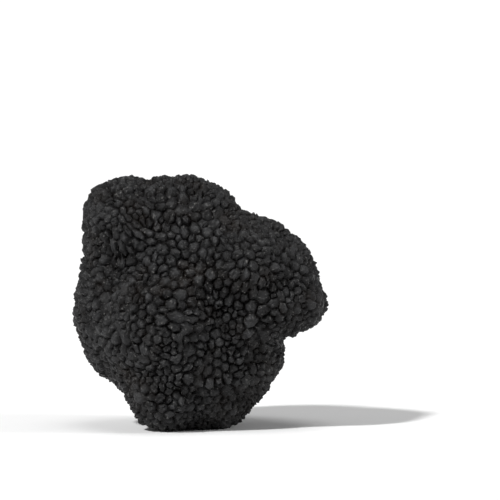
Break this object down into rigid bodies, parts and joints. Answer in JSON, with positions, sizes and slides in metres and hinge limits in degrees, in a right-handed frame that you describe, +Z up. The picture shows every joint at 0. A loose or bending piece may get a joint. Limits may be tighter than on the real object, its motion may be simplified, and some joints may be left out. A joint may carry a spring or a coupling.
{
  "type": "black truffle",
  "caption": "Whole black truffle: a lobed tuber with a high crown on one side and an overhanging lip on the other, low polygonal warts all over, and a small flat foot.",
  "frame": {"origin": "on the surface that the truffle rests on, under the middle of its bounding box", "axes": "+Z up as it rests; the side seen in the picture faces -Y; +X towards the overhanging lip"},
  "size_m": [0.03, 0.0266, 0.0298],
  "materials": {
    "black_rind": "matte"
  },
  "bodies": {
    "root": {"truffle": "black_rind"}
  },
  "joints": []
}
